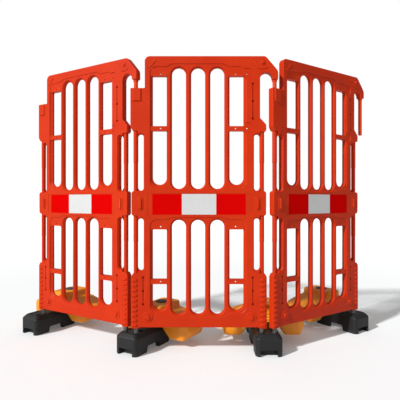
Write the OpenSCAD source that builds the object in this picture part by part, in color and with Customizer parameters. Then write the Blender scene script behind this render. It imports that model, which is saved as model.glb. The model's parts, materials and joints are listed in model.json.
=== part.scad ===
// Three hooked safety-barrier panels standing in ballasted feet, in millimetres, +Z up.
// The origin is on the ground, under the middle of the whole run's plan.
// Each panel is drawn in its own frame: X runs from its left pin to its hook, Y points to
// the side where the feet are long, and Z starts at the panel's bottom edge.

/* [Run] */
// Angle between the left and the centre panel
fold_left = 30.9; // [0:0.1:36]
// Angle between the centre and the right panel
fold_right = 33.8; // [0:0.1:36]

/* [Panel] */
// Height of a panel's moulding
panel_h = 2001; // [1800:1:2400]
// Distance from a panel's left pin to its hook, which is the pitch of the run
hinge_pitch = 1029; // [950:1:1300]
// Thickness of the moulding
panel_t = 49; // [44:1:62]
// Height of the panel's bottom edge over the ground
panel_lift = 205; // [195:1:260]
// Width of each stile outside its row of slots
stile_w = 46; // [36:1:60]
// Radius of the top corner over the socket
corner_r = 37; // [20:1:60]
// Depth of the sunk field on each face
field_depth = 5; // [2:0.5:8]
// Height of the top rail over the sunk field
top_rail = 55; // [40:1:80]

/* [Slots] */
// Number of slots side by side in each field
slot_count = 5; // [3:1:7]
// Width of one slot
slot_w = 103; // [80:1:120]
// Margin from the field's side edge to the first slot
slot_margin = 20; // [14:1:30]
// Top of the lower slots
slot_low_top = 797; // [700:1:810]
// Bottom of the lower slots
slot_low_base = 101; // [90:1:150]
// Bottom of the upper slots
slot_high_base = 1022; // [1015:1:1060]
// Height of the flat web across the two outer slots
web_h = 35; // [20:1:50]
// Thickness of that web
web_t = 34; // [8:1:38]

/* [Side tubes] */
// Diameter of the tubes beside the side slots
tube_d = 36; // [30:1:40]
// Width of the side slots
side_slot_w = 42; // [34:1:50]

/* [Band] */
// Bottom of the reflective band
band_base = 832; // [825:1:850]
// Height of the reflective band
band_h = 152; // [100:1:160]
// Width of the whole band
band_w = 688; // [500:1:720]
// Width of the white sheet in its middle
white_w = 253; // [150:1:300]
// Thickness of the reflective sheets
sheet_t = 0.8; // [0.4:0.1:1.2]

/* [Hook] */
// Diameter of the hook's spigot
spigot_d = 31; // [26:1:34]
// Height of the hook's shoulder over the panel's bottom edge, measured down from its top edge
shoulder_drop = 171; // [150:1:200]
// Length of the spigot below the shoulder
spigot_len = 323; // [250:1:340]
// Gap from the shoulder down to the top of the neighbour's socket
hook_gap = 64; // [50:1:90]
// Radial clearance of the spigot in the socket
spigot_clear = 0.5; // [0.3:0.1:2]
// Height of the socket block
socket_h = 317; // [280:1:360]

/* [Ground pins] */
// Diameter of the ground pins
pin_d = 34; // [26:1:36]
// Length of a pin inside the moulding
pin_hold = 180; // [120:1:260]
// Radial clearance of a pin in a foot's hole
pin_clear = 0.5; // [0.3:0.1:2]
// Depth of the holes in the feet
hole_depth = 100; // [60:1:105]

/* [Feet] */
// Width of a foot
foot_w = 200; // [180:1:240]
// Length of a foot
foot_len = 700; // [640:1:860]
// Height of a foot
foot_h = 160; // [150:1:180]
// Distance between the two columns of holes
hole_across = 95; // [80:1:104]
// Distance between the two rows of holes
hole_along = 53; // [48:1:70]
// Distance from the foot's front face to the first row
front_reach = 65; // [50:1:80]
// Radius of the foot's upright corners
foot_r = 32; // [15:1:40]
// Width and height of the bevel round the foot's top
foot_bevel = [38, 24];
// Width and height of the channel underneath
channel = [127, 50];

/* [Ballast] */
// Half width of the ballast tank over its wings
wing_reach = 337; // [300:1:360]
// Length of the tank along the foot
tank_len = 316; // [280:1:340]
// Distance from the first row of holes to the middle of the tank
tank_centre = 388; // [370:1:420]
// Height of the tank's top over the ground
tank_top = 305; // [295:1:340]
// Height of the underside of its wings over the ground
wing_base = 60; // [40:1:90]
// Wall thickness
tank_wall = 8; // [5:1:12]
// Upright chamfer at the wings' corners
wing_cut = 50; // [30:1:70]
// Diameter of the filler cap
cap_d = 98; // [70:1:110]
// Diameter of the filler neck
neck_d = 76; // [50:1:80]

/* [Hidden] */
$fn = 48;
eps = 1;

orange_red = "#e0482a";
band_red = "#d80a0a";
band_white = "#e8e8e4";
zinc = "#9a9d9a";
black_rubber = "#2b2b2b";
amber = "#e8922a";
slate = "#3d454d";

// Plan of a panel, from its left pin
right_pin = hinge_pitch - hole_across;
socket_out = 38;
body_left = tube_d / 2 - 1 + side_slot_w;
body_right = right_pin - tube_d / 2 - side_slot_w + 1;
field_left = body_left + stile_w;
slots_w = body_right - stile_w - 11 - field_left - 2 * slot_margin;
slot_pitch = (slots_w - slot_w) / (slot_count - 1);
slots_left = field_left + slot_margin;
field_right = slots_left + slots_w + slot_margin;
field_mid = (field_left + field_right) / 2;
mid_slots = slot_count - 2;

// Heights on a panel, from its bottom edge
field_top = panel_h - top_rail;
slot_high_top = field_top - 30;
field_step = 20;
step_run = 44;
field_r = 48;
outer_drop = 66;
outer_lift = 30;
shoulder_z = panel_h - shoulder_drop;
nose_h = 10;
socket_top = shoulder_z - hook_gap;
socket_base = socket_top - socket_h;
socket_depth = spigot_len - hook_gap + 6;
side_high = [slot_high_base - 13, socket_base - 24];
side_low = [419, 803];
tube_in = 30;
mid_block = [side_low[1] + 19, slot_high_base - 16];
low_block_top = side_low[0] - 20;
pin_boss = 9;
pin_tip = 6;
pin_seat = 0.05;
block_out = 34;
mid_out = block_out - 4;
mid_cut = 12;
arm_out = 24;
arm_drop = 106;
window_w = 90;
window_left = right_pin - 15;
arch_top = shoulder_z + 50;
hip_z = socket_base - 9;
web_high = socket_base + 1;
web_low = 323;
hole_d = 9.5;
outer_hole_x = [slots_left + slot_w / 2 + 7, slots_left + slots_w - slot_w / 2 - 9];
web_hole_z = [web_high + web_h / 2, slot_high_top - outer_drop + 20];
third_hole = 83;
hole_pad_r = 45;

// Bosses and slits
boss_rise = 4;
long_boss_x = [35, right_pin - 33];
low_boss_x = [90, right_pin - 81];
low_boss_z = 75;
arm_boss = [right_pin + 4, panel_h - 49];
socket_boss_h = 101;
slit_half = 2.75;
slit_dot_r = 9;
slit_depth = 14;
slit_low = [172, 368];

// Band
band_x = field_mid - band_w / 2 + 7;
white_x = band_x + (band_w - white_w) / 2;
sheet_gap = 0.2;
sunk_band = 36;
band_depth = 1.5;

// Feet and tanks
foot_back = foot_len - front_reach;
seat_gap = 0.3;
foot_pad = 132;
notch_len = 48;
foot_web = 12;
arch_len = (foot_len - 3 * foot_pad) / 2;
saddle_w = 126;
tower_w = 92;
tower_cut = 45;
tank_y = [tank_centre - tank_len / 2, tank_centre + tank_len / 2];
seal_t = 1.5;
cap_rise = 8;
plug_len = 26;

// Where each foot stands in the frame of the panel that it is square to
foot_at = [right_pin + hole_across / 2, 0];
end_foot_at = [-hole_across / 2, -hole_along];

function turn(p, a) = [p[0] * cos(a) - p[1] * sin(a), p[0] * sin(a) + p[1] * cos(a)];
function on_left(p) = turn(p - [hinge_pitch, 0], -fold_left);
function on_right(p) = turn(p, fold_right) + [hinge_pitch, 0];

// The plan's outermost points, each with the radius of the round corner about it
function foot_plan(at) = [for (x = [-1, 1], y = [foot_r - front_reach, foot_back - foot_r])
    [at[0] + x * (foot_w / 2 - foot_r), at[1] + y, foot_r]];
function tank_plan(at) = [for (x = [-1, 1], y = [-1, 1], k = [0, 1])
    [at[0] + x * (wing_reach - k * wing_cut),
        at[1] + tank_centre + y * (tank_len / 2 - (1 - k) * wing_cut), 0]];
panel_plan = [for (x = [-socket_out, hinge_pitch + arm_out], y = [-1, 1]) [x, y * panel_t / 2, 0]];
left_plan = concat(panel_plan, foot_plan(end_foot_at), tank_plan(end_foot_at),
    foot_plan(foot_at), tank_plan(foot_at));
right_plan = concat(panel_plan, foot_plan(foot_at), tank_plan(foot_at));
function moved(p, q) = [q[0], q[1], p[2]];
run_plan = concat(
    [for (p = left_plan) moved(p, on_left([p[0], p[1]]))],
    [for (p = right_plan) moved(p, on_right([p[0], p[1]]))],
    right_plan);
low = [for (k = [0, 1]) min([for (p = run_plan) p[k] - p[2]])];
high = [for (k = [0, 1]) max([for (p = run_plan) p[k] + p[2]])];
origin = (low + high) / 2;

module in_centre() { translate([-origin[0], -origin[1], 0]) children(); }
module in_left() {
    in_centre() rotate([0, 0, -fold_left]) translate([-hinge_pitch, 0, 0]) children();
}
module in_right() {
    in_centre() translate([hinge_pitch, 0, 0]) rotate([0, 0, fold_right]) children();
}
module at_foot() { translate([foot_at[0], foot_at[1], 0]) children(); }
module at_end_foot() { translate([end_foot_at[0], end_foot_at[1], 0]) children(); }

// Flat outlines lie in X and Z: this gives them a thickness from y0 to y1
module slab(y0, y1) { translate([0, y1, 0]) rotate([90, 0, 0]) linear_extrude(y1 - y0) children(); }
// The same on both faces, sunk by depth or raised by rise
module both_faces(depth, rise = 0) {
    slab(-panel_t / 2 - rise, -panel_t / 2 + depth) children();
    slab(panel_t / 2 - depth, panel_t / 2 + rise) children();
}
module box2(x0, x1, z0, z1) { translate([x0, z0]) square([x1 - x0, z1 - z0]); }
// A rectangle with round corners: base radius, then top radius
module soft_box2(x0, x1, z0, z1, rb, rt) {
    union() {
        box2(x0, x1, z0 + rb, z1 - rt);
        round_end2(x0, x1, z0 + rb, rb, -1);
        round_end2(x0, x1, z1 - rt, rt, 1);
    }
}
// The round end of a soft box, below its z when up is -1; a full half round is one circle
module round_end2(x0, x1, z, r, up) {
    if (x1 - x0 > 2 * r) {
        box2(x0 + r, x1 - r, z - (up < 0 ? r : eps), z + (up < 0 ? eps : r));
        for (x = [x0 + r, x1 - r]) translate([x, z]) circle(r);
    } else translate([x0 + r, z]) circle(r);
}
module slot2(x0, z0, z1) { soft_box2(x0, x0 + slot_w, z0, z1, slot_w / 2, slot_w / 2); }
// An outer slot: round at the base, square at the top, split by its web
module outer_slot2(x0, z0, z1, web) {
    soft_box2(x0, x0 + slot_w, z0, web, slot_w / 2, 8);
    soft_box2(x0, x0 + slot_w, web + web_h, z1, 8, 8);
}
function slot_x(i) = slots_left + i * slot_pitch;

module field_slots2(z0, z1, web) {
    for (i = [1:mid_slots]) slot2(slot_x(i), z0, z1);
    for (i = [0, slot_count - 1]) outer_slot2(slot_x(i), z0 + outer_lift, z1 - outer_drop, web);
}

// The sunk field: square sides, and a step up and down over the middle slots
module field2(z0, z1, low_step, high_step) {
    a = slot_x(1) - 17;
    b = slot_x(mid_slots) + slot_w + 17;
    union() {
        soft_box2(field_left, field_right, z0 + low_step, z1 - high_step, field_r, field_r);
        polygon([[a - step_run / 2, z1 - high_step - field_r], [a - step_run / 2, z1 - high_step],
            [a + step_run / 2, z1], [b - step_run / 2, z1], [b + step_run / 2, z1 - high_step],
            [b + step_run / 2, z1 - high_step - field_r]]);
        polygon([[a - step_run / 2, z0 + low_step + field_r], [a - step_run / 2, z0 + low_step],
            [a + step_run / 2, z0], [b - step_run / 2, z0], [b + step_run / 2, z0 + low_step],
            [b + step_run / 2, z0 + low_step + field_r]]);
    }
}

// The moulding seen from the front, without its tubes
module outline2() {
    b = mid_block;
    difference() {
        union() {
            box2(tube_d / 2 - 1, window_left, 0, socket_base + eps);
            box2(body_left + 8, window_left, socket_base, panel_h - corner_r);
            box2(body_left + 8 + corner_r, window_left, panel_h - corner_r - eps, panel_h);
            translate([body_left + 8 + corner_r, panel_h - corner_r]) circle(corner_r);
            polygon([[-socket_out, socket_base + 30], [-socket_out + 18, socket_base],
                [body_left + 40, socket_base], [body_left + 40, socket_top],
                [-socket_out, socket_top]]);
            polygon([[-mid_out, b[0] + mid_cut], [mid_cut - mid_out, b[0]],
                [right_pin + mid_out - mid_cut, b[0]], [right_pin + mid_out, b[0] + mid_cut],
                [right_pin + mid_out, b[1] - mid_cut], [right_pin + mid_out - mid_cut, b[1]],
                [mid_cut - mid_out, b[1]], [-mid_out, b[1] - mid_cut]]);
            polygon([[-block_out, -pin_boss], [tube_d / 2, -pin_boss], [tube_d / 2 + pin_boss, 0],
                [right_pin - tube_d / 2 - pin_boss, 0], [right_pin - tube_d / 2, -pin_boss],
                [right_pin + block_out, -pin_boss], [right_pin + block_out, low_block_top - 22],
                [right_pin + block_out - 14, low_block_top], [14 - block_out, low_block_top],
                [-block_out, low_block_top - 22]]);
            polygon([[body_right, hip_z], [right_pin + block_out - 3, hip_z],
                [right_pin + block_out - 3, hip_z + 56], [window_left, hip_z + 105],
                [body_right, hip_z + 105]]);
            arm2();
        }
        for (z = [side_high, side_low], x = [tube_d / 2 - 1, body_right])
            soft_box2(x, x + side_slot_w, z[0], z[1], side_slot_w / 2 - eps, side_slot_w / 2 - eps);
        field_slots2(slot_high_base, slot_high_top, web_high);
        field_slots2(slot_low_base, slot_low_top, web_low);
    }
}

// The arm that carries the hook over the neighbour's socket
module arm2() {
    difference() {
        polygon([[window_left - eps, shoulder_z], [window_left - eps, panel_h],
            [window_left + 40, panel_h], [hinge_pitch + arm_out - 3, panel_h - arm_drop],
            [hinge_pitch + arm_out, panel_h - arm_drop - 6],
            [hinge_pitch + arm_out, shoulder_z]]);
        translate([window_left + window_w / 2, arch_top - window_w / 2]) circle(window_w / 2);
        box2(window_left, window_left + window_w, shoulder_z - eps, arch_top - window_w / 2);
    }
}

module hole2(x, z, r) { translate([x, z]) circle(r); }
module long_boss2(x, z, w, h) {
    soft_box2(x - w / 2, x + w / 2, z - h / 2, z + h / 2, w / 2, w / 2);
}
// A slit through three round dots
module slit2(x, z0, z1) {
    box2(x - slit_half, x + slit_half, z0, z1);
    for (k = [0:2]) hole2(x, z0 + k * (z1 - z0) / 2, slit_dot_r);
}

module panel() {
    hole_x = concat(outer_hole_x, [outer_hole_x[1] + third_hole]);
    mid_z = (mid_block[0] + mid_block[1]) / 2;
    slit_x = body_right - 11;
    color(orange_red)
    difference() {
        union() {
            slab(-panel_t / 2, panel_t / 2) outline2();
            for (x = [0, right_pin], z = [side_low, side_high])
                translate([x, 0, z[0] - tube_in])
                    cylinder(h = z[1] - z[0] + 2 * tube_in, d = tube_d);
            // Spigot, with a short round nose
            translate([hinge_pitch, 0, shoulder_z - spigot_len + nose_h])
                cylinder(h = spigot_len - nose_h + eps, d = spigot_d);
            translate([hinge_pitch, 0, shoulder_z - spigot_len])
                cylinder(h = nose_h, d1 = spigot_d - 12, d2 = spigot_d);
            both_faces(eps, boss_rise) {
                for (x = long_boss_x) long_boss2(x, mid_z, 26, 80);
                for (x = low_boss_x) hole2(x, low_boss_z, 22);
                hole2(arm_boss[0], arm_boss[1], 17);
                box2(-24, 45, socket_top - socket_boss_h, socket_top);
            }
        }
        // Sunk fields and band
        both_faces(field_depth, eps) {
            field2(slot_high_base - 15, field_top, 18, field_step);
            field2(slot_low_base - 27, slot_low_top + 17, 29, 17);
            for (z = web_hole_z) hole2(hole_x[2], z, hole_pad_r);
        }
        both_faces(band_depth, eps)
            box2(band_x - sunk_band, band_x + band_w + sunk_band - 1, band_base - 4,
                band_base + band_h + 4);
        // The webs across the outer slots stand back from both faces
        both_faces((panel_t - web_t) / 2, eps)
            for (i = [0, slot_count - 1], z = [web_high, web_low])
                box2(slot_x(i), slot_x(i) + slot_w, z - eps, z + web_h + eps);
        // Fixing holes
        slab(-panel_t, panel_t) {
            for (x = hole_x, z = web_hole_z) hole2(x, z, hole_d / 2);
            for (x = outer_hole_x, z = [web_low + web_h / 2, slot_low_top - outer_drop + 12])
                hole2(x, z, hole_d / 2);
        }
        both_faces(slit_depth, eps + boss_rise) {
            slit2(slit_x, web_high + 90, web_high + 346);
            for (x = [body_left - 4, slit_x]) slit2(x, slit_low[0], slit_low[1]);
        }
        // Socket for the neighbour's spigot, and the bores that hold the ground pins
        translate([0, 0, socket_top - socket_depth])
            cylinder(h = socket_depth + eps, d = spigot_d + 2 * spigot_clear);
        for (x = [0, right_pin]) translate([x, 0, -pin_boss - eps])
            cylinder(h = pin_hold + eps, d = pin_d + 2 * pin_seat);
    }
}

module sheet(x0, x1) {
    for (y = [-1, 1]) translate([x0, y * (panel_t / 2 - band_depth + sheet_t / 2) - sheet_t / 2,
        band_base]) cube([x1 - x0, sheet_t, band_h]);
}
module white_sheets() { color(band_white) sheet(white_x, white_x + white_w); }
module red_sheets() {
    color(band_red) {
        sheet(band_x, white_x - sheet_gap);
        sheet(white_x + white_w + sheet_gap, band_x + band_w);
    }
}

// Pins reach down to the floor of the holes in the feet
module ground_pins() {
    base = foot_h - hole_depth - panel_lift + seat_gap;
    color(zinc) for (x = [0, right_pin]) {
        translate([x, 0, base + pin_tip])
            cylinder(h = pin_hold - pin_boss - base - pin_tip, d = pin_d);
        translate([x, 0, base]) cylinder(h = pin_tip, d1 = pin_d - 8, d2 = pin_d);
    }
}

module foot_section(w, h, b) {
    polygon([[-w / 2, 0], [w / 2, 0], [w / 2, h - b[1]], [w / 2 - b[0], h], [b[0] - w / 2, h],
        [-w / 2, h - b[1]]]);
}
module foot() {
    mid = (foot_back - front_reach) / 2;
    color(black_rubber)
    difference() {
        intersection() {
            linear_extrude(foot_h)
                soft_box2(-foot_w / 2, foot_w / 2, -front_reach, foot_back, foot_r, foot_r);
            translate([0, foot_back, 0]) rotate([90, 0, 0]) linear_extrude(foot_len)
                foot_section(foot_w, foot_h, foot_bevel);
            translate([-foot_w / 2, mid, 0]) rotate([90, 0, 90]) linear_extrude(foot_w)
                foot_section(foot_len, foot_h, foot_bevel);
        }
        // The channel underneath, closed by a web behind the notch at each end
        for (y = [[-front_reach - eps, notch_len + eps],
                [notch_len + foot_web - front_reach, foot_len - 2 * (notch_len + foot_web)],
                [foot_back - notch_len, notch_len + eps]])
            translate([-channel[0] / 2, y[0], -eps]) cube([channel[0], y[1], channel[1] + eps]);
        for (y = [mid - foot_pad / 2 - arch_len, mid + foot_pad / 2])
            translate([-foot_w / 2 - eps, y, -eps])
                cube([foot_w + 2 * eps, arch_len, channel[1] - 2 + eps]);
        for (x = [-1, 1], y = [0, hole_along])
            translate([x * hole_across / 2, y, foot_h - hole_depth])
                cylinder(h = hole_depth + eps, d = pin_d + 2 * pin_clear);
    }
}

// Half of the tank's section, from the top edge round to the saddle, mirrored by the caller
function tank_half() = [[tower_w, tank_top], [tower_w + 17, tank_top - 55],
    [tower_w + 51, tank_top - 65], [wing_reach - 22, wing_base + 132],
    [wing_reach - 3, wing_base + 118], [wing_reach, wing_base + 65],
    [wing_reach - 33, wing_base], [saddle_w + 48, wing_base], [saddle_w, wing_base + 70],
    [foot_w / 2, foot_h + seat_gap]];
module tank_section() {
    half = tank_half();
    n = len(half);
    polygon(concat(half, [for (i = [n - 1:-1:0]) [-half[i][0], half[i][1]]]));
}
module cut_plan(rx, y0, y1, c) {
    polygon([[-rx, y0 + c], [c - rx, y0], [rx - c, y0], [rx, y0 + c], [rx, y1 - c], [rx - c, y1],
        [c - rx, y1], [-rx, y1 - c]]);
}
module tank() {
    step_z = tank_top - 60;
    floor_z = foot_h + seat_gap + tank_wall;
    w = tank_wall;
    color(amber)
    difference() {
        intersection() {
            translate([0, tank_y[1], 0]) rotate([90, 0, 0]) linear_extrude(tank_len) tank_section();
            translate([-wing_reach, 0, 0]) rotate([90, 0, 90]) linear_extrude(2 * wing_reach)
                polygon([[tank_y[0] + 16, wing_base], [tank_y[0], wing_base + 60],
                    [tank_y[0], step_z], [tank_y[0] + 14, tank_top], [tank_y[1] - 14, tank_top],
                    [tank_y[1], step_z], [tank_y[1], wing_base + 60], [tank_y[1] - 16, wing_base]]);
            union() {
                linear_extrude(step_z) cut_plan(wing_reach, tank_y[0], tank_y[1], wing_cut);
                translate([0, 0, step_z - eps]) linear_extrude(tank_top - step_z + eps)
                    cut_plan(tower_w + 17, tank_y[0], tank_y[1], tower_cut);
            }
        }
        // Water space: the tower, the shoulders under it and a leg in each wing
        translate([w - tower_w, tank_y[0] + 50, floor_z])
            cube([2 * (tower_w - w), tank_len - 100, tank_top - w - floor_z]);
        translate([w - saddle_w - 15, tank_y[0] + 24, floor_z])
            cube([2 * (saddle_w + 15 - w), tank_len - 48, step_z - w - 4 - floor_z]);
        for (s = [-1, 1]) translate([s > 0 ? saddle_w + 30 : -wing_reach + 60, tank_y[0] + 50,
            wing_base + w])
            cube([wing_reach - saddle_w - 90, tank_len - 100, 100]);
        for (s = [-1, 1]) translate([s > 0 ? saddle_w - 10 : -saddle_w - 90, tank_y[0] + 50,
            floor_z + 5])
            cube([100, tank_len - 100, 30]);
        translate([0, tank_centre, tank_top - w - eps]) cylinder(h = w + 2 * eps, d = neck_d);
    }
}

module cap() {
    color(slate)
    translate([0, tank_centre, 0]) {
        translate([0, 0, tank_top + seat_gap + seal_t]) difference() {
            cylinder(h = cap_rise - seat_gap - seal_t, d = cap_d);
            // Finger recesses each side of a bar
            for (s = [-1, 1]) translate([s * 21, 0, cap_rise - seat_gap - seal_t - 3])
                intersection() {
                    cylinder(h = 4, d = 28);
                    translate([-9, -14, 0]) cube([18, 28, 4]);
                }
        }
        translate([0, 0, tank_top - plug_len]) cylinder(h = plug_len + seat_gap + seal_t + eps,
            d = neck_d - 1);
    }
}
module seal() {
    color("#1c1c1c") translate([0, tank_centre, tank_top + seat_gap]) difference() {
        cylinder(h = seal_t, d = neck_d + 12);
        translate([0, 0, -eps]) cylinder(h = seal_t + 2 * eps, d = neck_d - 0.8);
    }
}

module lifted() { translate([0, 0, panel_lift]) children(); }

in_left() lifted() panel();  // left_panel
in_left() lifted() white_sheets();  // left_white_sheets
in_left() lifted() red_sheets();  // left_red_sheets
in_left() lifted() ground_pins();  // left_ground_pins
in_centre() lifted() panel();  // centre_panel
in_centre() lifted() white_sheets();  // centre_white_sheets
in_centre() lifted() red_sheets();  // centre_red_sheets
in_centre() lifted() ground_pins();  // centre_ground_pins
in_right() lifted() panel();  // right_panel
in_right() lifted() white_sheets();  // right_white_sheets
in_right() lifted() red_sheets();  // right_red_sheets
in_right() lifted() ground_pins();  // right_ground_pins
in_left() at_end_foot() foot();  // left_end_foot
in_left() at_foot() foot();  // left_joint_foot
in_centre() at_foot() foot();  // right_joint_foot
in_right() at_foot() foot();  // right_end_foot
in_left() at_end_foot() tank();  // left_end_ballast
in_left() at_foot() tank();  // left_joint_ballast
in_centre() at_foot() tank();  // right_joint_ballast
in_right() at_foot() tank();  // right_end_ballast
in_left() at_end_foot() cap();  // left_end_cap
in_left() at_foot() cap();  // left_joint_cap
in_centre() at_foot() cap();  // right_joint_cap
in_right() at_foot() cap();  // right_end_cap
in_left() at_end_foot() seal();  // left_end_seal
in_left() at_foot() seal();  // left_joint_seal
in_centre() at_foot() seal();  // right_joint_seal
in_right() at_foot() seal();  // right_end_seal
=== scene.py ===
import json
import math

import bmesh
import bpy
from mathutils import Matrix, Vector


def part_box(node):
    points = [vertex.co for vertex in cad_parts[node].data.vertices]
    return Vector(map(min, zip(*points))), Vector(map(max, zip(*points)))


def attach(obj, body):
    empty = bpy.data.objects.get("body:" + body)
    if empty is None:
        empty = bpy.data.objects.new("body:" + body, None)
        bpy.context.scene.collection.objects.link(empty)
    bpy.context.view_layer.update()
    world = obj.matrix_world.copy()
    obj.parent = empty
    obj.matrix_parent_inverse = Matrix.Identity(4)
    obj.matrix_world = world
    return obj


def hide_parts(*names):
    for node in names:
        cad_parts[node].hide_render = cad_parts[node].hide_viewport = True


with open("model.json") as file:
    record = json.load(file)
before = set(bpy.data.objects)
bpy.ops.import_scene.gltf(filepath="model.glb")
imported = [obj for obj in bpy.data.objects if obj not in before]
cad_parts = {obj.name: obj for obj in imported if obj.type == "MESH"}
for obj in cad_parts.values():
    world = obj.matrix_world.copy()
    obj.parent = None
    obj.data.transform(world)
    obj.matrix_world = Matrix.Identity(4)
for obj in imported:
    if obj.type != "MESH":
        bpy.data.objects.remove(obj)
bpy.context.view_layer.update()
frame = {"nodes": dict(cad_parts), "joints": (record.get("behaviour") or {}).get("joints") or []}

mm = 0.001
joints = {j["name"]: j for j in frame["joints"]}
print("frame loaded:", len(frame["nodes"]), "nodes")


# Where things stand: a bay's own frame has X from its left pin to its hook, in mm
def jointPlace(name):
    return Vector(joints[name]["pos_m"])


def bayMatrix(origin, towards):
    turn = Matrix.Rotation(math.atan2(towards.y - origin.y, towards.x - origin.x), 4, "Z")
    return Matrix.Translation((origin.x, origin.y, 0)) @ turn @ Matrix.Scale(mm, 4)


leftHinge = jointPlace("left_hinge")
rightHinge = jointPlace("right_hinge")
bays = {
    "left": bayMatrix(jointPlace("left_end_foot_swivel"), leftHinge),
    "centre": bayMatrix(leftHinge, rightHinge),
    "right": bayMatrix(rightHinge, jointPlace("right_end_foot_swivel")),
}
pitch = (rightHinge - leftHinge).length / mm


# Mesh helpers, all in mm: outlines are (x, z) points, and y runs through the thickness
def arc(cx, cz, r, start, end, steps=8):
    turns = [math.radians(start + (end - start) * k / steps) for k in range(steps + 1)]
    return [(cx + r * math.cos(a), cz + r * math.sin(a)) for a in turns]


def circle(cx, cz, r, steps=24):
    return arc(cx, cz, r, 0, 360 - 360 / steps, steps - 1)


def roundBox(x0, x1, z0, z1, low, high, steps=8):
    return (arc(x0 + low, z0 + low, low, 180, 270, steps)
            + arc(x1 - low, z0 + low, low, 270, 360, steps)
            + arc(x1 - high, z1 - high, high, 0, 90, steps)
            + arc(x0 + high, z1 - high, high, 90, 180, steps))


def between(a, b, t):
    return [(p[0] + (q[0] - p[0]) * t, p[1] + (q[1] - p[1]) * t) for p, q in zip(a, b)]


def shrunk(points, by):
    xs, zs = [p[0] for p in points], [p[1] for p in points]
    cx, cz = (min(xs) + max(xs)) / 2, (min(zs) + max(zs)) / 2
    kx, kz = 1 - 2 * by / (max(xs) - min(xs)), 1 - 2 * by / (max(zs) - min(zs))
    return [(cx + (x - cx) * kx, cz + (z - cz) * kz) for x, z in points]


# Starts from one face and extrudes it through levels, each a y and an outline of as many points
def loft(levels):
    bm = bmesh.new()
    y, points = levels[0]
    face = bm.faces.new([bm.verts.new((x, y, z)) for x, z in points])
    for nextY, nextPoints in levels[1:]:
        out = bmesh.ops.extrude_face_region(bm, geom=[face])["geom"]
        for v in [g for g in out if isinstance(g, bmesh.types.BMVert)]:
            k = min(range(len(points)),
                    key=lambda i: (points[i][0] - v.co.x) ** 2 + (points[i][1] - v.co.z) ** 2)
            v.co = Vector((nextPoints[k][0], nextY, nextPoints[k][1]))
        if y != levels[0][0]:
            bmesh.ops.delete(bm, geom=[face], context="FACES_ONLY")
        face = [g for g in out if isinstance(g, bmesh.types.BMFace)][0]
        y, points = nextY, nextPoints
    bmesh.ops.remove_doubles(bm, verts=bm.verts[:], dist=0.01)
    bmesh.ops.recalc_face_normals(bm, faces=bm.faces[:])
    return bm


def prism(points, y0, y1):
    return loft([(y0, points), (y1, points)])


def soften(bm, width, steps=3, angle=25):
    edges = [e for e in bm.edges if e.is_manifold and e.calc_face_angle() > math.radians(angle)]
    bmesh.ops.bevel(bm, geom=edges, offset=width, offset_type="OFFSET", segments=steps,
                    profile=0.5, affect="EDGES", clamp_overlap=True, material=-1)
    return bm


def post(x, z0, z1, r, tip=0, steps=32):  # an upright round bar, with an optional coned foot
    cone = max(tip, 1)
    bm = bmesh.new()
    bmesh.ops.create_cone(bm, cap_ends=True, segments=steps, radius1=r - tip, radius2=r,
                          depth=cone)
    bmesh.ops.translate(bm, vec=(0, 0, cone / 2), verts=bm.verts[:])
    top = max(bm.faces, key=lambda f: f.calc_center_median().z)
    out = bmesh.ops.extrude_face_region(bm, geom=[top])["geom"]
    bmesh.ops.delete(bm, geom=[top], context="FACES_ONLY")
    lid = [g for g in out if isinstance(g, bmesh.types.BMVert)]
    bmesh.ops.translate(bm, vec=(0, 0, z1 - z0 - cone), verts=lid)
    bmesh.ops.translate(bm, vec=(x, 0, z0), verts=bm.verts[:])
    bmesh.ops.recalc_face_normals(bm, faces=bm.faces[:])
    return bm


def together(parts):
    bm = bmesh.new()
    for part in parts:
        spare = bpy.data.meshes.new("spare")
        part.to_mesh(spare)
        part.free()
        bm.from_mesh(spare)
        bpy.data.meshes.remove(spare)
    return bm


def objectOf(bm, name):
    mesh = bpy.data.meshes.new(name)
    bm.to_mesh(mesh)
    bm.free()
    piece = bpy.data.objects.new(name, mesh)
    bpy.context.scene.collection.objects.link(piece)
    return piece


def meshOf(piece):  # takes the shape and drops its object
    bm = bmesh.new()
    bm.from_mesh(piece.data)
    bpy.data.objects.remove(piece)
    return bm


def bake(piece):
    graph = bpy.context.evaluated_depsgraph_get()
    old = piece.data
    piece.data = bpy.data.meshes.new_from_object(piece.evaluated_get(graph))
    piece.modifiers.clear()
    bpy.data.meshes.remove(old)


def join(piece, tool, operation):
    tool = objectOf(tool, "tool")
    step = piece.modifiers.new("join", "BOOLEAN")
    step.object = tool
    step.operation = operation
    step.solver = "MANIFOLD"
    bake(piece)
    bpy.data.objects.remove(tool)


def smoothed(piece, angle=32):
    piece.data.shade_smooth()
    piece.data.set_sharp_from_angle(angle=math.radians(angle))
    even = piece.modifiers.new("even", "WEIGHTED_NORMAL")
    even.keep_sharp = True
    bake(piece)


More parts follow.
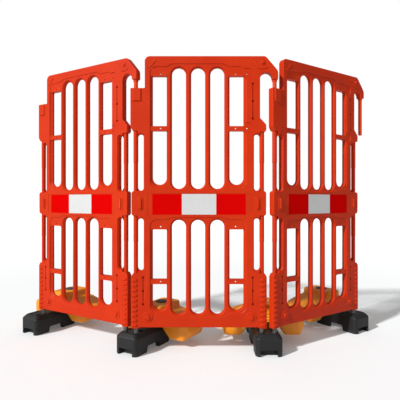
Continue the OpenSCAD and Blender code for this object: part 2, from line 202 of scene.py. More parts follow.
# The panel's moulding: heights are from its bottom edge, and x is from its left pin
panel = {
    "height": 2001,
    "thickness": 49,
    "rightPin": pitch - 95,
    "edge": 7,
    "slots": 5,
    "slotWidth": 103,
    "slotPitch": 142.2,
    "slotStart": 126,
    "middleSlots": ((1022, 1916), (96, 792)),
    "outerSlots": (((1052, 1450), (1485, 1855)), ((127, 319), (354, 722))),
    "slotCorner": 8,
    "flaredCorners": (10, 12),
    "sideFlares": (20, 12),
    "flare": 12.5,
    "flareDeep": 15,
    "throat": (2.5, 0.12),
    "tubeSlots": ((1009, 1425), (419, 803)),
    "tubeSlotX": 17,
    "tubeSlotWidth": 42,
    "tubeSlotFlare": 9,
    "fields": ((1007, 1946, 18, 20), (74, 814, 29, 17)),
    "fieldDepth": 5,
    "fieldDraft": 6,
    "fieldLeft": 106,
    "fieldRight": 819,
    "fieldCorner": 48,
    "padX": 822,
    "padZ": (1468, 1870),
    "padRadius": 44,
    "padDraft": 2,
    "band": (90, 849, 828, 988),
    "bandDepth": 1.5,
    "holeX": (185, 738),
    "highHoles": (1467, 1870),
    "lowHoles": (337, 743),
    "holeRadius": 4.75,
    "holeWall": 14,
    "pocketRadius": 11,
    "slits": ((865, 1540, 1796), (865, 172, 368), (56, 172, 368)),
    "slitWidth": 5.5,
    "slitDepth": 12,
    "dotRadius": 8.5,
    "dotDepth": 14,
    "socketBore": (1501, 1800, 16),
    "pinBore": (-20, 171, 17.2),
    "tubes": ((1216, 1475, 18), (980, 1218, 16.4), (630, 850, 18), (370, 632, 16.4)),
    "bandBoss": {"x": (35, -33), "outlines": ((24, 859, 966, 23), (13, 870, 955, 12.9)),
                 "rise": (4, 12), "draft": (4, 6)},
    "cornerBoss": {"x": (90, -81), "z": 75, "circles": ((40, 36), (24, 28)),
                   "rise": (4, 13), "draft": (4, 7)},
    "armBoss": {"x": 4, "z": 1952, "circles": ((21, 28), (14, 24)),
                "rise": (3.5, 10), "draft": (3.5, 5)},
    "bossEdges": (1, 1.5),
    "socketBoss": {"box": (-24, 45, 1665, 1764), "corner": 4, "rise": 8, "draft": 7},
    "lines": ([(149, 1971), (104, 1918), (84, 1916)],
              [(859, 1968), (906, 1912)] + arc(920, 1926, 18, 220, 300, 4)
              + [(950, 1911), (974, 1922)]),
    "lineWidth": 8,
    "lineRise": 4,
    "lineEdge": 2.6,
    "ribs": 10,
    "ribStart": 4,
    "ribPitch": 36.86,
    "ribReach": (27, 15),
    "ribHeight": 26,
    "ribCorners": (6, 12),
    "ribRise": 8,
    "ribDraft": 6,
    "ribEdge": 1.2,
    "shoulder": 1830,
    "spigot": {"down": 323, "up": 10, "radius": 15.5, "tip": 6},
    "neck": {"down": 16, "up": 4, "radius": 19, "tip": 3.6},
}
panel["lift"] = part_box("centre_panel")[1].z / mm - panel["height"]
over = 2  # how far a cut runs past the face it starts from


def contour(p):
    far, hook, top = p["rightPin"], pitch, p["height"]
    return ([(-34, -9), (20, -9), (29, 0), (far - 29, 0), (far - 20, -9), (far + 34, -9),
             (far + 34, 375), (far + 18, 399), (far - 17, 399), (far - 17, 822), (far + 18, 822),
             (far + 30, 834), (far + 30, 994), (far + 18, 1006), (far - 17, 1006),
             (far - 17, 1440), (far + 18, 1440), (far + 31, 1453), (far + 31, 1496),
             (far - 15, 1545)]
            + arc(far + 30, 1835, 45, 180, 0, 12)
            + [(hook - 19, 1830), (hook + 24, 1830), (hook + 24, 1880), (hook + 20, 1895),
               (hook + 10, 1909), (far + 38, top - 13), (far + 28, top - 4), (far + 15, top)]
            + arc(105, top - 37, 37, 90, 180, 8)
            + [(68, 1766), (-38, 1766), (-38, 1479), (-20, 1449), (17, 1449), (17, 1006),
               (-18, 1006), (-30, 994), (-30, 834), (-18, 822), (17, 822), (17, 399),
               (-18, 399), (-34, 375)])


# How far open a flared slot is at each depth under the face: 1 at the face, 0 at the throat
def flareLevels(p, inner, outer, face):
    half = p["thickness"] / 2
    deep = half - face - p["flareDeep"]
    lip, share = p["throat"]
    down = [(half + over, 1.0), (half - face, 1.0), (deep + lip, share), (deep, 0.0)]
    side = [(-y, between(inner, outer, t)) for y, t in down]
    return side + [(-y, points) for y, points in reversed(side)]


def middleSlot(p, x, z0, z1):
    w, f = p["slotWidth"], p["flare"]
    inner = roundBox(x, x + w, z0, z1, w / 2, w / 2, 12)
    outer = roundBox(x - f, x + w + f, z0 - f, z1 + f, w / 2 + f, w / 2 + f, 12)
    return loft(flareLevels(p, inner, outer, p["fieldDepth"]))


# An outer slot's openings are square where a web crosses, and only their sides flare there
def outerSlot(p, x, z0, z1, lowRound, outward):
    w, f, corner = p["slotWidth"], p["flare"], p["slotCorner"]
    lowCorner, highCorner = p["flaredCorners"]
    left, right = (p["sideFlares"][0], f) if outward < 0 else (f, p["sideFlares"][1])
    low, lowOuter, lowFlare = (w / 2, w / 2 + f, f) if lowRound else (corner, lowCorner, 0)
    inner = roundBox(x, x + w, z0, z1, low, corner, 12)
    outer = roundBox(x - left, x + w + right, z0 - lowFlare, z1, lowOuter, highCorner, 12)
    return loft(flareLevels(p, inner, outer, p["fieldDepth"]))


def slotX(p, k):
    return p["slotStart"] + k * p["slotPitch"]


def openings(p):
    last = p["slots"] - 1
    cuts = [middleSlot(p, slotX(p, k), z0, z1)
            for k in range(1, last) for z0, z1 in p["middleSlots"]]
    for k, outward in ((0, -1), (last, 1)):
        for lower, upper in p["outerSlots"]:
            cuts.append(outerSlot(p, slotX(p, k), *lower, True, outward))
            cuts.append(outerSlot(p, slotX(p, k), *upper, False, outward))
    edge, w, f = p["tubeSlotX"], p["tubeSlotWidth"], p["tubeSlotFlare"]
    r = w / 2 - 0.1
    for x in (edge, p["rightPin"] - edge - w):
        for z0, z1 in p["tubeSlots"]:
            inner = roundBox(x, x + w, z0, z1, r, r, 8)
            outer = roundBox(x - f, x + w + f, z0 - f, z1 + f, r + f, r + f, 8)
            cuts.append(loft(flareLevels(p, inner, outer, 0)))
    return cuts


# The sunk field around the slots steps out over the middle ones
def fieldOutline(p, z0, z1, lowStep, highStep):
    left, right, r = p["fieldLeft"], p["fieldRight"], p["fieldCorner"]
    side, slope = 17, 22
    a = slotX(p, 1) - side
    b = slotX(p, p["slots"] - 2) + p["slotWidth"] + side
    return (arc(left + r, z0 + lowStep + r, r, 180, 270, 10)
            + [(a - slope, z0 + lowStep), (a + slope, z0), (b - slope, z0),
               (b + slope, z0 + lowStep)]
            + arc(right - r, z0 + lowStep + r, r, 270, 360, 10)
            + arc(right - r, z1 - highStep - r, r, 0, 90, 10)
            + [(b + slope, z1 - highStep), (b - slope, z1), (a + slope, z1),
               (a - slope, z1 - highStep)]
            + arc(left + r, z1 - highStep - r, r, 90, 180, 10))


def bothFaces(p, points, depth, draft=0.0):
    half = p["thickness"] / 2
    inner = shrunk(points, draft) if draft else points
    return [loft([(s * (half + over), points), (s * half, points), (s * (half - depth), inner)])
            for s in (-1, 1)]


def raisedFaces(p, points, rise, soft, draft=0.0, root=4):
    half = p["thickness"] / 2
    top = shrunk(points, draft) if draft else points
    pads = []
    for s in (-1, 1):
        pad = loft([(s * (half - root), points), (s * half, points), (s * (half + rise), top)])
        pads.append(soften(pad, soft, 2, 30))
    return pads


# A narrow raised line along an open run of points
def stroke(points, width):
    left, right = [], []
    for k, (x, z) in enumerate(points):
        a, b = points[max(k - 1, 0)], points[min(k + 1, len(points) - 1)]
        along = Vector((b[0] - a[0], b[1] - a[1])).normalized() * width / 2
        left.append((x - along.y, z + along.x))
        right.append((x + along.y, z - along.x))
    return left + right[::-1]


def sinkFields(piece, p):
    fields, pads = [], []
    for z0, z1, lowStep, highStep in p["fields"]:
        outline = fieldOutline(p, z0, z1, lowStep, highStep)
        fields += bothFaces(p, outline, p["fieldDepth"], p["fieldDraft"])
    join(piece, together(fields), "DIFFERENCE")
    for z in p["padZ"]:
        outline = circle(p["padX"], z, p["padRadius"], 32)
        pads += bothFaces(p, outline, p["fieldDepth"], p["padDraft"])
    join(piece, together(pads), "DIFFERENCE")
    left, right, low, high = p["band"]
    band = [(left, low), (right, low), (right, high), (left, high)]
    join(piece, together(bothFaces(p, band, p["bandDepth"])), "DIFFERENCE")


# Fixing holes bored wider from the back, slits with their dots, and the socket and pin bores
def drillHoles(piece, p):
    half, slit = p["thickness"] / 2, p["slitWidth"] / 2
    holes = [(x, z) for x in (*p["holeX"], p["padX"]) for z in p["highHoles"]]
    holes += [(x, z) for x in p["holeX"] for z in p["lowHoles"]]
    small = [prism(circle(x, z, p["holeRadius"], 16), -half - over, half + over)
             for x, z in holes]
    pockets = [prism(circle(x, z, p["pocketRadius"], 24), p["holeWall"] - half, half + over)
               for x, z in holes]
    join(piece, together(pockets), "DIFFERENCE")
    dots = []
    for x, z0, z1 in p["slits"]:
        outline = [(x - slit, z0), (x + slit, z0), (x + slit, z1), (x - slit, z1)]
        for s in (-1, 1):
            small.append(prism(outline, s * (half + over), s * (half - p["slitDepth"])))
        for z in (z0, (z0 + z1) / 2, z1):
            dots += bothFaces(p, circle(x, z, p["dotRadius"], 20), p["dotDepth"])
    join(piece, together(small), "DIFFERENCE")
    join(piece, together(dots), "DIFFERENCE")
    bores = [post(0, *p["socketBore"])] + [post(x, *p["pinBore"]) for x in (0, p["rightPin"])]
    join(piece, together(bores), "DIFFERENCE")


# Each boss is a low ring with a taller middle joined after it
def addBosses(piece, p):
    far = p["rightPin"]
    band, corner, arm, block = p["bandBoss"], p["cornerBoss"], p["armBoss"], p["socketBoss"]
    bosses = []
    for x in (band["x"][0], far + band["x"][1]):
        shapes = [roundBox(x - w, x + w, z0, z1, r, r) for w, z0, z1, r in band["outlines"]]
        bosses.append((band, shapes))
    rounds = ((corner, corner["x"][0]), (corner, far + corner["x"][1]), (arm, far + arm["x"]))
    for boss, x in rounds:
        bosses.append((boss, [circle(x, boss["z"], r, steps) for r, steps in boss["circles"]]))
    tiers = ([], [])
    for boss, shapes in bosses:
        for k, shape in enumerate(shapes):
            tiers[k].extend(raisedFaces(p, shape, boss["rise"][k], p["bossEdges"][k],
                                        boss["draft"][k]))
    rings, middles = tiers
    outline = roundBox(*block["box"], block["corner"], block["corner"], 3)
    rings += raisedFaces(p, outline, block["rise"], p["bossEdges"][1], block["draft"])
    join(piece, together(rings), "UNION")
    for line in p["lines"]:
        raised = raisedFaces(p, stroke(line, p["lineWidth"]), p["lineRise"], p["lineEdge"])
        join(piece, together(raised), "UNION")
    join(piece, together(middles), "UNION")


def addRibs(piece, p):
    far, (outer, inner), ribs = p["rightPin"], p["ribReach"], []
    for k in range(p["ribs"]):
        z = p["ribStart"] + k * p["ribPitch"]
        for x0, x1 in ((-outer, inner), (far - inner, far + outer)):
            rib = roundBox(x0, x1, z, z + p["ribHeight"], *p["ribCorners"], 4)
            ribs += raisedFaces(p, rib, p["ribRise"], p["ribEdge"], p["ribDraft"])
    join(piece, together(ribs), "UNION")


def moulding(p):
    half = p["thickness"] / 2
    body = soften(prism(contour(p), -half, half), p["edge"], 3, 25)
    piece = objectOf(body, "moulding")
    sinkFields(piece, p)
    join(piece, together(openings(p)), "DIFFERENCE")
    print("panel: slots cut")
    drillHoles(piece, p)
    for z0, z1, r in p["tubes"]:
        join(piece, together([post(x, z0, z1, r) for x in (0, p["rightPin"])]), "UNION")
    addBosses(piece, p)
    addRibs(piece, p)
    for bar in (p["spigot"], p["neck"]):
        z0, z1 = p["shoulder"] - bar["down"], p["shoulder"] + bar["up"]
        join(piece, post(pitch, z0, z1, bar["radius"], bar["tip"]), "UNION")
    print("panel: bosses, ribs and hook joined,", len(piece.data.polygons), "faces")
    return piece


pattern = moulding(panel)
smoothed(pattern)


def placed(source, name, matrix):
    copy = bpy.data.objects.new(name, source.data.copy())
    copy.data.transform(matrix)
    bpy.context.scene.collection.objects.link(copy)
    return copy


def prismUp(points, z0, z1):  # an outline in plan, from z0 up to z1
    bm = prism(points, -z1, -z0)
    bmesh.ops.rotate(bm, cent=(0, 0, 0), matrix=Matrix.Rotation(math.radians(-90), 3, "X"),
                     verts=bm.verts[:])
    return bm


def prismAcross(points, x0, x1):  # an outline of (y, z) points, from x0 across to x1
    bm = prism(points, -x1, -x0)
    bmesh.ops.rotate(bm, cent=(0, 0, 0), matrix=Matrix.Rotation(math.radians(90), 3, "Z"),
                     verts=bm.verts[:])
    return bm


# The rubber foot, measured from the middle of its tank
foot = {
    "width": 200,
    "front": -453,
    "length": 700,
    "height": 160,
    "corner": 33,
    "bevel": (27, 29),
    "edge": 7,
    "channel": (127, 50),
    "channelCorners": (4, 9),
    "notch": 48,
    "web": 12,
    "pad": 135,
    "archHeight": 48,
    "archSplay": 6,
    "archKnee": (1, 0.7),
    "archCrown": 12,
    "archEdge": 6,
    "firstRow": -388,
    "rows": 53,
    "columns": 95,
    "hole": 35,
    "holeDepth": 100,
    "sink": (4.5, 1.6),
    "below": -20,
}


def rubberFoot(f):
    w, h, length, front, below = f["width"], f["height"], f["length"], f["front"], f["below"]
    back, mid = front + length, front + length / 2
    across, rise = f["bevel"]
    bm = bmesh.new()
    bmesh.ops.create_cube(bm, size=1)
    bmesh.ops.scale(bm, vec=(w, length, h - rise), verts=bm.verts[:])
    bmesh.ops.translate(bm, vec=(0, mid, (h - rise) / 2), verts=bm.verts[:])
    upright = [e for e in bm.edges if abs(e.verts[0].co.z - e.verts[1].co.z) > 1]
    bmesh.ops.bevel(bm, geom=upright, offset=f["corner"], offset_type="OFFSET", segments=6,
                    profile=0.5, affect="EDGES", clamp_overlap=True, material=-1)
    top = max(bm.faces, key=lambda g: g.calc_center_median().z)
    out = bmesh.ops.extrude_face_region(bm, geom=[top])["geom"]
    bmesh.ops.delete(bm, geom=[top], context="FACES_ONLY")
    lid = [g for g in out if isinstance(g, bmesh.types.BMVert)]
    bmesh.ops.translate(bm, vec=(0, -mid, rise), verts=lid)
    bmesh.ops.scale(bm, vec=(1 - 2 * across / w, 1 - 2 * across / length, 1), verts=lid)
    bmesh.ops.translate(bm, vec=(0, mid, 0), verts=lid)
    bmesh.ops.recalc_face_normals(bm, faces=bm.faces[:])
    piece = objectOf(soften(bm, f["edge"], 3, 28), "foot")
    half, top = f["channel"][0] / 2, f["channel"][1]
    channel = roundBox(-half, half, below, top, *f["channelCorners"], 4)
    notch, web = f["notch"], f["web"]
    runs = [(front - 5, front + notch), (front + notch + web, back - notch - web),
            (back - notch, back + 5)]
    join(piece, together([prism(channel, y0, y1) for y0, y1 in runs]), "DIFFERENCE")
    span, z, crown = (length - 3 * f["pad"]) / 2, f["archHeight"], f["archCrown"]
    splay, (knee, part) = f["archSplay"], f["archKnee"]
    arches = []
    for y0 in (front + f["pad"], mid + f["pad"] / 2):
        y1 = y0 + span
        arch = [(y0 - splay, below), (y1 + splay, below), (y1 - knee, z * part), (y1 - crown, z),
                (y0 + crown, z), (y0 + knee, z * part)]
        side = prismAcross(arch, -w / 2 - 9, w / 2 + 9)
        arches.append(soften(side, f["archEdge"], 3, 20))
    join(piece, together(arches), "DIFFERENCE")
    wider, shallow = f["sink"]
    sinks, holes = [], []
    for x in (-f["columns"] / 2, f["columns"] / 2):
        for y in (f["firstRow"], f["firstRow"] + f["rows"]):
            sinks.append(prismUp(circle(x, y, f["hole"] / 2 + wider, 32), h - shallow, h + 4))
            holes.append(prismUp(circle(x, y, f["hole"] / 2, 32), h - f["holeDepth"], h + 4))
    join(piece, together(sinks), "DIFFERENCE")
    join(piece, together(holes), "DIFFERENCE")
    print("foot made,", len(piece.data.polygons), "faces")
    return piece


# The ballast tank that sits over the foot
tank = {
    "reach": 337,
    "length": 315,
    "base": 60,
    "top": 305,
    "section": ((92, 305), (109, 250), (143, 240), (315, 192), (334, 178), (337, 125),
                (304, 60), (174, 60), (126, 130), (100, 160.3)),
    "cut": 50,
    "step": 245,
    "towerReach": 109,
    "towerCut": 45,
    "endKnee": 120,
    "endTaper": (16, 14),
    "voxel": 5.5,
    "soften": (0.7, 32),
    "grooves": (198, 222),
    "grooveReach": 70,
    "grooveHeight": 7,
    "lowGroove": (-62, 62, 176, 186),
    "grooveDepth": 5,
    "neck": 76,
    "neckDepth": 34,
}


def chamferBox(x, y, cut):
    return [(-x, cut - y), (cut - x, -y), (x - cut, -y), (x, cut - y),
            (x, y - cut), (x - cut, y), (cut - x, y), (-x, y - cut)]


def ballastTank(t):
    y, base, top, step, knee = t["length"] / 2, t["base"], t["top"], t["step"], t["endKnee"]
    section = list(t["section"])
    piece = objectOf(prism(section + [(-x, z) for x, z in section[::-1]], -y, y), "tank")
    low, high = t["endTaper"]
    side = [(low - y, base), (-y, knee), (-y, step), (high - y, top), (y - high, top),
            (y, step), (y, knee), (y - low, base)]
    join(piece, prismAcross(side, -t["reach"] - 1, t["reach"] + 1), "INTERSECT")
    plan = objectOf(prismUp(chamferBox(t["reach"], y, t["cut"]), base - 2, step), "plan")
    tower = chamferBox(t["towerReach"], y, t["towerCut"])
    join(plan, prismUp(tower, step - 2, top + 2), "UNION")
    join(piece, meshOf(plan), "INTERSECT")
    skin = piece.modifiers.new("skin", "REMESH")
    skin.mode = "VOXEL"
    skin.voxel_size = t["voxel"]
    soft = piece.modifiers.new("soft", "SMOOTH")
    soft.factor, soft.iterations = t["soften"]
    bake(piece)
    size = piece.dimensions
    piece.data.transform(Matrix.Diagonal((2 * t["reach"] / size.x, t["length"] / size.y, 1, 1)))
    # Moulded-in grooves across the front and back
    grooves = []
    x, tall = t["grooveReach"], t["grooveHeight"]
    outlines = [[(-x, z), (x, z), (x, z + tall), (-x, z + tall)] for z in t["grooves"]]
    outlines.append(roundBox(*t["lowGroove"], 4, 4, 3))
    for s in (-1, 1):
        grooves += [prism(line, s * (y + 4), s * (y - t["grooveDepth"])) for line in outlines]
    join(piece, together(grooves), "DIFFERENCE")
    neck = prismUp(circle(0, 0, t["neck"] / 2, 48), top - t["neckDepth"], top + 4)
    join(piece, neck, "DIFFERENCE")
    print("tank made,", len(piece.data.polygons), "faces")
    return piece


# The filler cap: a disc with a notched rim, a ring groove and two scoops that leave a finger bar
cap = {
    "across": 98,
    "bottom": 306.9,
    "top": 312.8,
    "edge": 1.2,
    "plug": 75,
    "plugBottom": 279,
    "notches": 28,
    "notchRadius": 2.6,
    "ring": (7, 9.5),
    "ringDepth": 1.2,
    "scoop": (6, 25),
    "scoopDepth": 3.4,
    "scoopEdge": 1,
}


def fillerCap(c):
    r, low, high = c["across"] / 2, c["bottom"], c["top"]
    piece = objectOf(soften(prismUp(circle(0, 0, r, 84), low, high), c["edge"], 2, 40), "cap")
    notches = []
    for k in range(c["notches"]):
        a = 2 * math.pi * k / c["notches"]
        x, y = math.cos(a) * (r + 1), math.sin(a) * (r + 1)
        notches.append(prismUp(circle(x, y, c["notchRadius"], 10), low - 2, high + 2))
    join(piece, together(notches), "DIFFERENCE")
    outer, inner = r - c["ring"][0], r - c["ring"][1]
    ring = objectOf(prismUp(circle(0, 0, outer, 64), high - c["ringDepth"], high + 3), "ring")
    join(ring, prismUp(circle(0, 0, inner, 64), high - 3, high + 5), "DIFFERENCE")
    join(piece, meshOf(ring), "DIFFERENCE")
    away, radius = c["scoop"]
    scoops = []
    for outline in (arc(-away, 0, radius, 105, 255, 12), arc(away, 0, radius, -75, 75, 12)):
        scoop = prismUp(outline, high - c["scoopDepth"], high + 3)
        scoops.append(soften(scoop, c["scoopEdge"], 2, 40))
    join(piece, together(scoops), "DIFFERENCE")
    join(piece, prismUp(circle(0, 0, c["plug"] / 2, 64), c["plugBottom"], low + 1), "UNION")
    return piece


footPattern = rubberFoot(foot)
smoothed(footPattern, 30)
tankPattern = ballastTank(tank)
tankPattern.data.shade_smooth()
capPattern = fillerCap(cap)
smoothed(capPattern, 30)


# Materials read Object coordinates, in metres
def newMaterial(name):
    material = bpy.data.materials.new(name)
    material.use_nodes = True
    nodes = material.node_tree.nodes
    return material, nodes, material.node_tree.links, nodes["Principled BSDF"]


def objectNoise(nodes, links, scale, detail=4.0, stretch=(1, 1, 1)):
    place = nodes.new("ShaderNodeTexCoord")
    mapping = nodes.new("ShaderNodeMapping")
    mapping.inputs["Scale"].default_value = stretch
    noise = nodes.new("ShaderNodeTexNoise")
    noise.inputs["Scale"].default_value = scale
    noise.inputs["Detail"].default_value = detail
    links.new(place.outputs["Object"], mapping.inputs["Vector"])
    links.new(mapping.outputs["Vector"], noise.inputs["Vector"])
    return noise.outputs["Fac"]


def blendColour(nodes, links, factor, first, second, low=0.0, high=1.0):
    ramp = nodes.new("ShaderNodeMapRange")
    ramp.inputs["From Min"].default_value = low
    ramp.inputs["From Max"].default_value = high
    links.new(factor, ramp.inputs["Value"])
    mix = nodes.new("ShaderNodeMix")
    mix.data_type = "RGBA"
    for socket, colour in ((mix.inputs[6], first), (mix.inputs[7], second)):
        if isinstance(colour, tuple):
            socket.default_value = (*colour, 1)
        else:
            links.new(colour, socket)
    links.new(ramp.outputs["Result"], mix.inputs["Factor"])
    return mix.outputs[2]


def spread(nodes, links, factor, low, high):
    ramp = nodes.new("ShaderNodeMapRange")
    ramp.inputs["To Min"].default_value = low
    ramp.inputs["To Max"].default_value = high
    links.new(factor, ramp.inputs["Value"])
    return ramp.outputs["Result"]


def bumped(nodes, links, height, strength, distance, under=None):
    bump = nodes.new("ShaderNodeBump")
    bump.inputs["Strength"].default_value = strength
    bump.inputs["Distance"].default_value = distance
    links.new(height, bump.inputs["Height"])
    if under:
        links.new(under, bump.inputs["Normal"])
    return bump.outputs["Normal"]


def mouldedPlastic(name, look):
    material, nodes, links, shader = newMaterial(name)
    cloud = objectNoise(nodes, links, 5, 6)
    colour = blendColour(nodes, links, cloud, look["deep"], look["colour"], 0.3, 0.7)
    scuff = objectNoise(nodes, links, 60, 8, (1, 1, 0.3))
    colour = blendColour(nodes, links, scuff, colour, look["scuff"], 0.62, 0.95)
    edges = nodes.new("ShaderNodeNewGeometry").outputs["Pointiness"]
    colour = blendColour(nodes, links, edges, colour, look["edge"], 0.53, 0.66)
    links.new(colour, shader.inputs["Base Color"])
    links.new(spread(nodes, links, scuff, *look["rough"]), shader.inputs["Roughness"])
    waves = objectNoise(nodes, links, look["peel"], 2)
    peel = bumped(nodes, links, waves, 0.25, look["peelDepth"])
    grain = objectNoise(nodes, links, look["grain"], 3)
    links.new(bumped(nodes, links, grain, 0.35, look["grainDepth"], peel), shader.inputs["Normal"])
    shader.inputs["Specular IOR Level"].default_value = look["gloss"]
    return material


def crumbRubber(name, look):
    material, nodes, links, shader = newMaterial(name)
    crumbs = objectNoise(nodes, links, 260, 3)
    colour = blendColour(nodes, links, objectNoise(nodes, links, 7, 5), look["deep"],
                         look["colour"], 0.3, 0.7)
    colour = blendColour(nodes, links, crumbs, colour, look["crumb"], 0.6, 0.72)
    place = nodes.new("ShaderNodeTexCoord")
    split = nodes.new("ShaderNodeSeparateXYZ")
    links.new(place.outputs["Object"], split.inputs["Vector"])
    dust = nodes.new("ShaderNodeMath")
    dust.operation = "MULTIPLY"
    low = nodes.new("ShaderNodeMapRange")
    low.inputs["From Min"].default_value = look["dustTop"]
    low.inputs["From Max"].default_value = 0.0
    links.new(split.outputs["Z"], low.inputs["Value"])
    links.new(low.outputs["Result"], dust.inputs[0])
    links.new(objectNoise(nodes, links, 28, 6), dust.inputs[1])
    colour = blendColour(nodes, links, dust.outputs["Value"], colour, look["dust"], 0.2, 1.2)
    links.new(colour, shader.inputs["Base Color"])
    links.new(spread(nodes, links, crumbs, *look["rough"]), shader.inputs["Roughness"])
    links.new(bumped(nodes, links, crumbs, 0.4, 0.0006), shader.inputs["Normal"])
    shader.inputs["Specular IOR Level"].default_value = look["gloss"]
    return material


def sheeting(name, look):  # retroreflective film: sealed cells under a clear face
    material, nodes, links, shader = newMaterial(name)
    place = nodes.new("ShaderNodeTexCoord")
    cells = nodes.new("ShaderNodeTexVoronoi")
    cells.feature = "DISTANCE_TO_EDGE"
    cells.inputs["Scale"].default_value = 1 / look["cell"]
    cells.inputs["Randomness"].default_value = 0.25
    links.new(place.outputs["Object"], cells.inputs["Vector"])
    colour = blendColour(nodes, links, objectNoise(nodes, links, 9, 4), look["deep"],
                         look["colour"], 0.3, 0.7)
    colour = blendColour(nodes, links, cells.outputs["Distance"], look["seam"], colour, 0.0, 0.07)
    links.new(colour, shader.inputs["Base Color"])
    glints = objectNoise(nodes, links, 500, 2)
    links.new(spread(nodes, links, glints, *look["rough"]), shader.inputs["Roughness"])
    links.new(bumped(nodes, links, cells.outputs["Distance"], 0.1, 0.0002),
              shader.inputs["Normal"])
    shader.inputs["Specular IOR Level"].default_value = look["gloss"]
    return material


def galvanised(name, look):
    material, nodes, links, shader = newMaterial(name)
    place = nodes.new("ShaderNodeTexCoord")
    spangle = nodes.new("ShaderNodeTexVoronoi")
    spangle.inputs["Scale"].default_value = 1 / look["spangle"]
    links.new(place.outputs["Object"], spangle.inputs["Vector"])
    split = nodes.new("ShaderNodeSeparateColor")
    links.new(spangle.outputs["Color"], split.inputs["Color"])
    colour = blendColour(nodes, links, split.outputs["Red"], look["deep"], look["colour"])
    links.new(colour, shader.inputs["Base Color"])
    links.new(spread(nodes, links, split.outputs["Green"], *look["rough"]),
              shader.inputs["Roughness"])
    scratch = objectNoise(nodes, links, 240, 3, (1, 1, 0.05))
    links.new(bumped(nodes, links, scratch, 0.25, 0.0002), shader.inputs["Normal"])
    shader.inputs["Metallic"].default_value = look["metal"]
    return material


looks = {
    "orange_moulding": (mouldedPlastic, {
        "colour": (0.46, 0.024, 0.001), "deep": (0.42, 0.019, 0.001),
        "scuff": (0.50, 0.038, 0.006), "edge": (0.56, 0.046, 0.006), "rough": (0.42, 0.6),
        "peel": 90, "peelDepth": 0.0006, "grain": 900, "grainDepth": 0.0002, "gloss": 0.12}),
    "tank_plastic": (mouldedPlastic, {
        "colour": (0.78, 0.265, 0.003), "deep": (0.70, 0.22, 0.002),
        "scuff": (0.82, 0.33, 0.02), "edge": (0.86, 0.36, 0.02), "rough": (0.38, 0.6),
        "peel": 55, "peelDepth": 0.0012, "grain": 500, "grainDepth": 0.0003, "gloss": 0.4}),
    "cap_plastic": (mouldedPlastic, {
        "colour": (0.046, 0.058, 0.076), "deep": (0.034, 0.044, 0.058),
        "scuff": (0.09, 0.10, 0.12), "edge": (0.12, 0.13, 0.15), "rough": (0.45, 0.65),
        "peel": 120, "peelDepth": 0.0004, "grain": 900, "grainDepth": 0.0002, "gloss": 0.4}),
    "foot_rubber": (crumbRubber, {
        "colour": (0.010, 0.0105, 0.0105), "deep": (0.007, 0.0075, 0.0075),
        "crumb": (0.022, 0.023, 0.023), "dust": (0.04, 0.04, 0.038), "dustTop": 0.07,
        "rough": (0.45, 0.65), "gloss": 0.28}),
    "seal_rubber": (crumbRubber, {
        "colour": (0.03, 0.03, 0.03), "deep": (0.02, 0.02, 0.02),
        "crumb": (0.04, 0.04, 0.04), "dust": (0.08, 0.08, 0.08), "dustTop": 0.07,
        "rough": (0.5, 0.6), "gloss": 0.28}),
    "white_sheeting": (sheeting, {
        "colour": (0.50, 0.505, 0.50), "deep": (0.475, 0.48, 0.475),
        "seam": (0.43, 0.43, 0.43), "cell": 0.0045, "rough": (0.3, 0.45), "gloss": 0.3}),
    "red_sheeting": (sheeting, {
        "colour": (0.52, 0.001, 0.001), "deep": (0.47, 0.001, 0.001),
        "seam": (0.40, 0.001, 0.001), "cell": 0.0045, "rough": (0.4, 0.55), "gloss": 0.0}),
    "pin_steel": (galvanised, {
        "colour": (0.15, 0.15, 0.14), "deep": (0.07, 0.07, 0.066), "spangle": 0.009,
        "rough": (0.4, 0.6), "metal": 0.85}),
}
materials = {slot: make(slot, look) for slot, (make, look) in looks.items()}
print("materials made:", ", ".join(materials))


def finished(piece, slot, body, *nodes):
    piece.data.materials.clear()
    piece.data.materials.append(materials[slot])
    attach(piece, body)
    if nodes:
        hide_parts(*nodes)


for bay, matrix in bays.items():
    raised = matrix @ Matrix.Translation((0, 0, panel["lift"]))
    piece = placed(pattern, bay + "_moulding", raised)
    finished(piece, "orange_moulding", bay + "_bay", bay + "_panel")

stands = {
    "left_end": ("left", "left_end_stand"),
    "left_joint": ("left", "left_joint_stand"),
    "right_joint": ("centre", "centre_bay"),
    "right_end": ("right", "right_end_stand"),
}
for stand, (bay, body) in stands.items():
    middle = jointPlace(stand + "_cap_turn")
    place = Matrix.Translation((middle.x, middle.y, 0)) @ bays[bay].to_3x3().to_4x4()
    piece = placed(footPattern, stand + "_rubber_foot", place)
    finished(piece, "foot_rubber", body, stand + "_foot")
    piece = placed(tankPattern, stand + "_tank_shell", place)
    finished(piece, "tank_plastic", stand + "_tank", stand + "_ballast")
    piece = placed(capPattern, stand + "_filler_cap", place)
    finished(piece, "cap_plastic", stand + "_lid", stand + "_cap")
for spare in (pattern, footPattern, tankPattern, capPattern):
    bpy.data.objects.remove(spare)

carried = {"_white_sheets": "white_sheeting", "_red_sheets": "red_sheeting",
           "_ground_pins": "pin_steel", "_seal": "seal_rubber"}
for name, node in frame["nodes"].items():
    for ending, slot in carried.items():
        if name.endswith(ending):
            node.data.materials.clear()
            node.data.materials.append(materials[slot])
print("pieces placed")

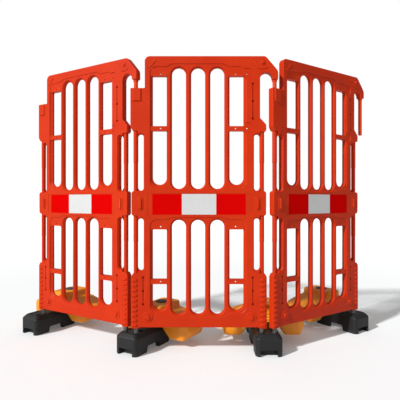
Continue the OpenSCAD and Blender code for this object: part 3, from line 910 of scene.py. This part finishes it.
# Camera, floor and light
studio = {
    "fromLeftHinge": (0.4757, -3.073),
    "cameraHeight": 1.1447,
    "lens": 37.26,
    "sun": 4.5,
    "sunSpread": 4,
    "sunFrom": (-0.62, -0.55, 0.56),
    "fill": 0.38,
    "floor": (0.715, 0.73, 0.732),
    "floorRough": 0.9,
    "floorSize": 60,
    "floorGlow": (0.11, 0.3),
    "floorFade": (3, 12),
}
scene = bpy.context.scene
camera = bpy.data.cameras.new("camera")
camera.sensor_width = 36
camera.lens = studio["lens"]
eye = bpy.data.objects.new("camera", camera)
across, back = studio["fromLeftHinge"]
eye.location = (leftHinge.x + across, leftHinge.y + back, studio["cameraHeight"])
eye.rotation_euler = (math.pi / 2, 0, 0)
scene.collection.objects.link(eye)
scene.camera = eye

lamp = bpy.data.lights.new("sun", "SUN")
lamp.energy = studio["sun"]
lamp.angle = math.radians(studio["sunSpread"])
sun = bpy.data.objects.new("sun", lamp)
sun.rotation_euler = Vector(studio["sunFrom"]).to_track_quat("Z", "Y").to_euler()
scene.collection.objects.link(sun)

world = bpy.data.worlds.new("studio")
world.use_nodes = True
nodes, links = world.node_tree.nodes, world.node_tree.links
fill = nodes["Background"]
fill.inputs["Color"].default_value = (1, 1, 1, 1)
fill.inputs["Strength"].default_value = studio["fill"]
backdrop = nodes.new("ShaderNodeBackground")
backdrop.inputs["Color"].default_value = (1, 1, 1, 1)
seen = nodes.new("ShaderNodeLightPath")
mix = nodes.new("ShaderNodeMixShader")
links.new(seen.outputs["Is Camera Ray"], mix.inputs["Fac"])
links.new(fill.outputs["Background"], mix.inputs[1])
links.new(backdrop.outputs["Background"], mix.inputs[2])
links.new(mix.outputs["Shader"], nodes["World Output"].inputs["Surface"])
scene.world = world
scene.view_settings.view_transform = "Standard"

ground = bmesh.new()
bmesh.ops.create_grid(ground, x_segments=1, y_segments=1, size=studio["floorSize"])
floor = objectOf(ground, "floor")
material, nodes, links, shader = newMaterial("floor")
shader.inputs["Base Color"].default_value = (*studio["floor"], 1)
shader.inputs["Roughness"].default_value = studio["floorRough"]
shader.inputs["Specular IOR Level"].default_value = 0.0
shader.inputs["Emission Color"].default_value = (1, 1, 1, 1)
place = nodes.new("ShaderNodeTexCoord")
away = nodes.new("ShaderNodeVectorMath")
away.operation = "LENGTH"
links.new(place.outputs["Object"], away.inputs[0])
fade = nodes.new("ShaderNodeMapRange")  # the floor fades into the backdrop
fade.inputs["From Min"].default_value, fade.inputs["From Max"].default_value = studio["floorFade"]
fade.inputs["To Min"].default_value, fade.inputs["To Max"].default_value = studio["floorGlow"]
links.new(away.outputs["Value"], fade.inputs["Value"])
links.new(fade.outputs["Result"], shader.inputs["Emission Strength"])
floor.data.materials.append(material)
print("studio set")
